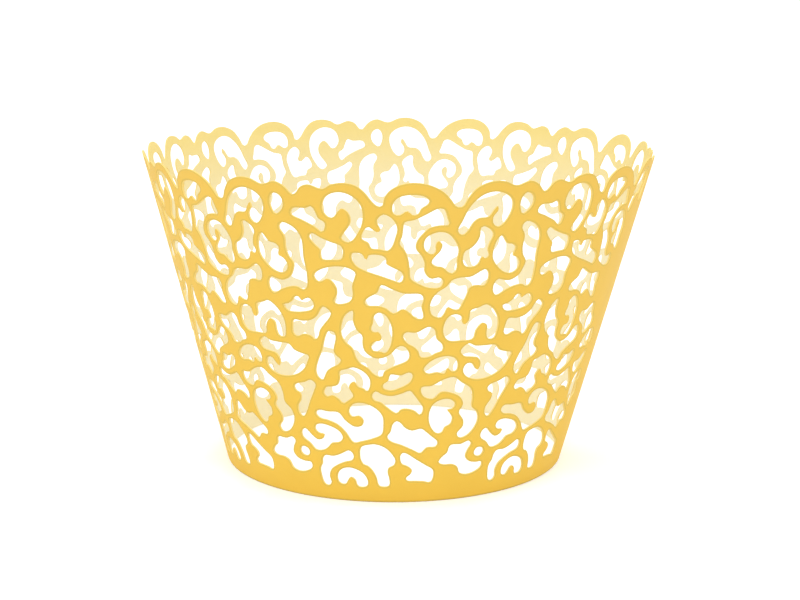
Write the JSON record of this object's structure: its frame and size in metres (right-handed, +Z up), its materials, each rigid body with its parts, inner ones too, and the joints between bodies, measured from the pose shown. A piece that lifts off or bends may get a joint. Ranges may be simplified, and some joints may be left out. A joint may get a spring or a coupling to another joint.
{
  "type": "cupcake wrapper",
  "caption": "Lacy card sleeve that stands round a cupcake: open tapered ring, pierced with scrollwork, with a scalloped rim and a tongue-and-slit seam",
  "frame": {"origin": "on the table, under the middle of the rim; the base edge is centred 0.8 mm to the left of it", "axes": "+Z up along the wrapper's axis, from the narrow base to the scalloped rim; -Y is the side that faces the picture's camera; the seam lies on the +X side"},
  "size_m": [0.0748, 0.0848, 0.0462],
  "materials": {
    "card": "satin yellow outside, paler and more matt inside"
  },
  "bodies": {
    "root": {"wrapper": "card"}
  },
  "joints": []
}
